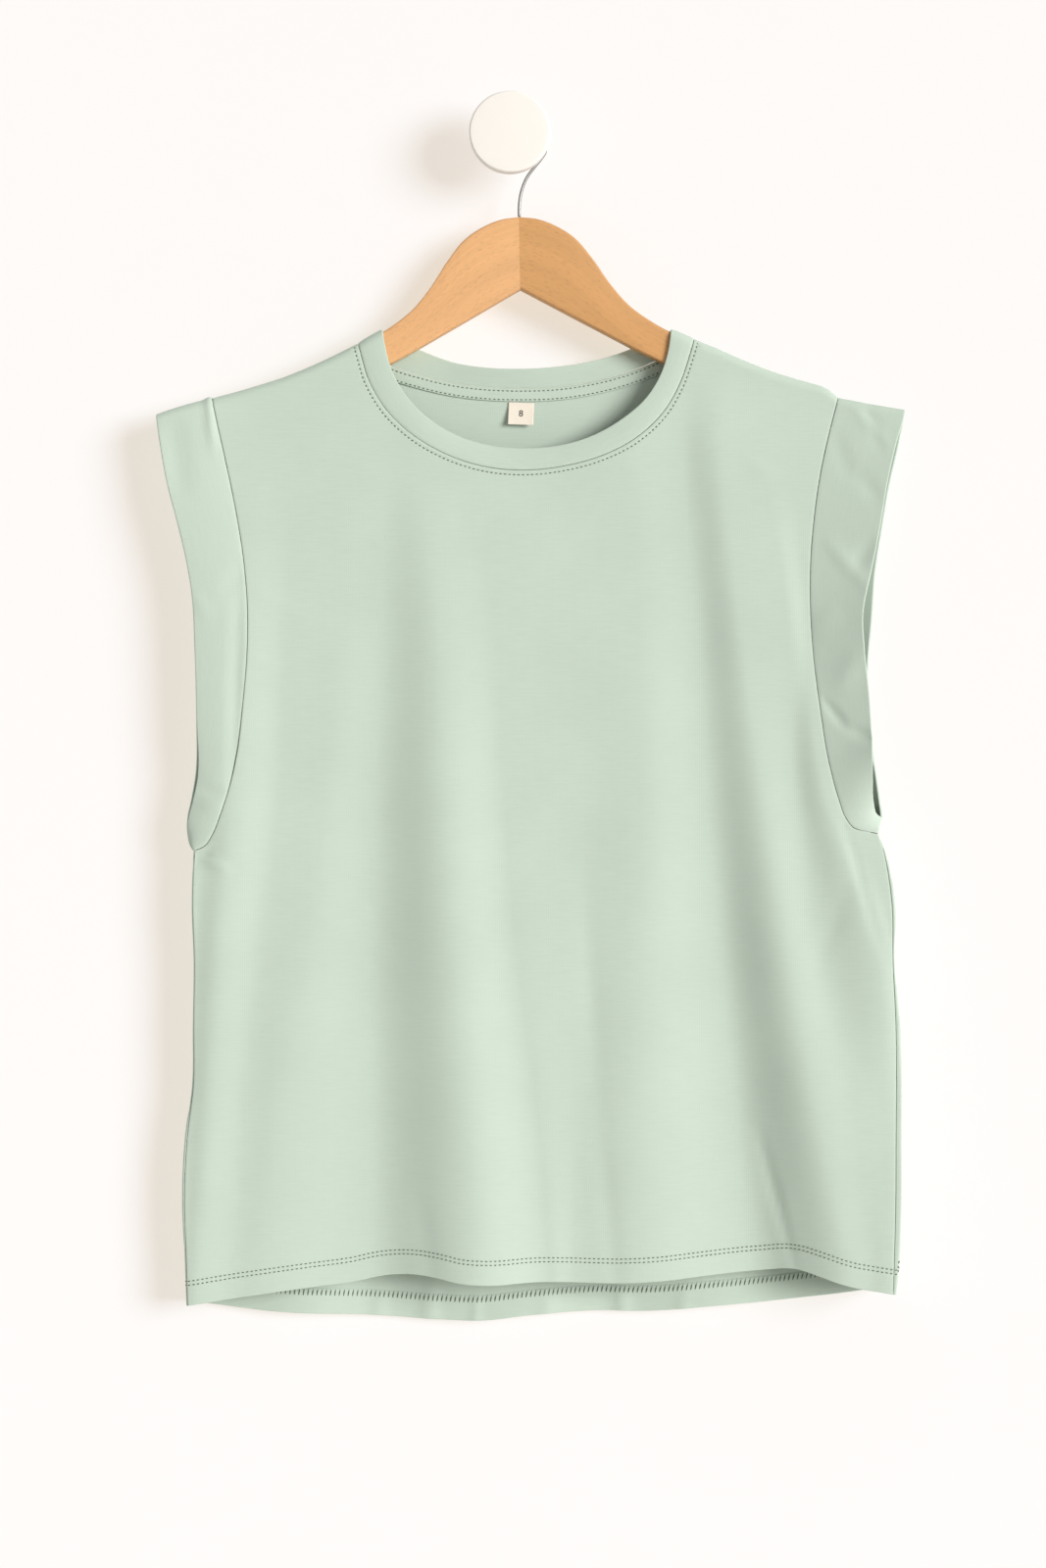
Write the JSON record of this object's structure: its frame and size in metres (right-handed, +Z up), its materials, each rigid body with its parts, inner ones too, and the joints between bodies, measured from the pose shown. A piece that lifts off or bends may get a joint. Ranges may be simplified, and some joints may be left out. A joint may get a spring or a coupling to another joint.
{
  "type": "sleeveless tank top on a hanger",
  "caption": "Boxy sleeveless crew-neck tank top with folded sleeve bands, hung on a flat wooden hanger from a round wall knob.",
  "frame": {"origin": "centre of the wall knob's back face, on the wall", "axes": "+X to the right as seen from the front, +Y into the wall, +Z up"},
  "size_m": [0.4969, 0.0503, 0.8168],
  "materials": {
    "sage_jersey": "soft matt cotton jersey, sage green",
    "woven_label": "cream woven tape",
    "beech": "clear satin varnish",
    "hook_wire": "bright zinc-plated wire",
    "white_knob": "matt white paint"
  },
  "bodies": {
    "root": {"front_panel": "sage_jersey", "back_panel": "sage_jersey", "neckband": "sage_jersey", "sleeve_band_left": "sage_jersey", "sleeve_band_right": "sage_jersey", "back_neck_tape": "sage_jersey", "size_label": "woven_label", "hanger_half_left": "beech", "hanger_half_right": "beech", "hanger_hook": "hook_wire", "wall_knob": "white_knob"}
  },
  "joints": []
}
